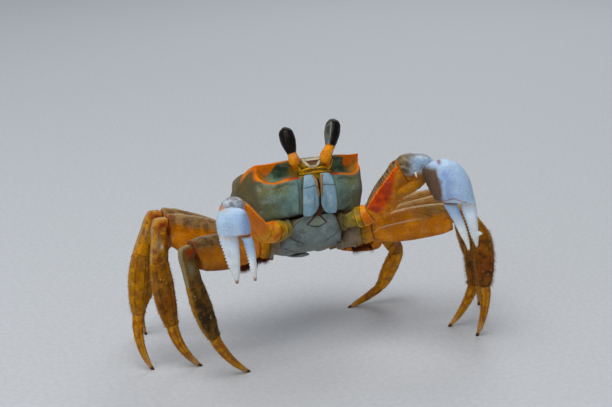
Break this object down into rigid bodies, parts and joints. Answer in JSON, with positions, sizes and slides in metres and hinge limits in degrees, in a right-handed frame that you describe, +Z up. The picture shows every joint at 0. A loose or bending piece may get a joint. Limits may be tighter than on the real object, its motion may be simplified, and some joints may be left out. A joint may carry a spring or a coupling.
{
  "type": "ghost crab model",
  "caption": "Still life-size model of a ghost crab standing high on its walking legs, eyestalks up, one claw larger than the other.",
  "frame": {"origin": "on the floor, at the middle of the crab's outline seen from above", "axes": "+Z up, the crab faces -Y, its left side is +X"},
  "size_m": [0.125, 0.0684, 0.0722],
  "materials": {
    "shell": "finely granular, satin",
    "sternum": "smooth, satin",
    "mouth": "smooth, satin",
    "stalk": "smooth, satin",
    "cornea": "glossy",
    "merus": "rippled, satin",
    "distal": "rough, satin",
    "claw": "granular, satin",
    "arm": "smooth with a beaded crest, satin"
  },
  "bodies": {
    "root": {"carapace": "shell", "sternum": "sternum", "abdomen": "sternum", "maxilliped_R": "mouth", "eyestalk_R": "stalk", "cornea_R": "cornea", "claw_R_base": "arm", "claw_R_merus": "arm", "claw_R_carpus": "claw", "claw_R_palm": "claw", "claw_R_dactyl": "claw", "maxilliped_L": "mouth", "eyestalk_L": "stalk", "cornea_L": "cornea", "claw_L_base": "arm", "claw_L_merus": "arm", "claw_L_carpus": "claw", "claw_L_palm": "claw", "claw_L_dactyl": "claw", "leg2_R_base": "arm", "leg2_R_merus": "merus", "leg2_R_carpus": "merus", "leg2_R_propodus": "distal", "leg2_R_dactyl": "distal", "leg3_R_base": "arm", "leg3_R_merus": "merus", "leg3_R_carpus": "merus", "leg3_R_propodus": "distal", "leg3_R_dactyl": "distal", "leg4_R_base": "arm", "leg4_R_merus": "merus", "leg4_R_carpus": "merus", "leg4_R_propodus": "distal", "leg4_R_dactyl": "distal", "leg5_R_base": "arm", "leg5_R_merus": "merus", "leg5_R_carpus": "merus", "leg5_R_propodus": "distal", "leg5_R_dactyl": "distal", "leg2_L_base": "arm", "leg2_L_merus": "merus", "leg2_L_carpus": "merus", "leg2_L_propodus": "distal", "leg2_L_dactyl": "distal", "leg3_L_base": "arm", "leg3_L_merus": "merus", "leg3_L_carpus": "merus", "leg3_L_propodus": "distal", "leg3_L_dactyl": "distal", "leg4_L_base": "arm", "leg4_L_merus": "merus", "leg4_L_carpus": "merus", "leg4_L_propodus": "distal", "leg4_L_dactyl": "distal", "leg5_L_base": "arm", "leg5_L_merus": "merus", "leg5_L_carpus": "merus", "leg5_L_propodus": "distal", "leg5_L_dactyl": "distal"}
  },
  "joints": []
}
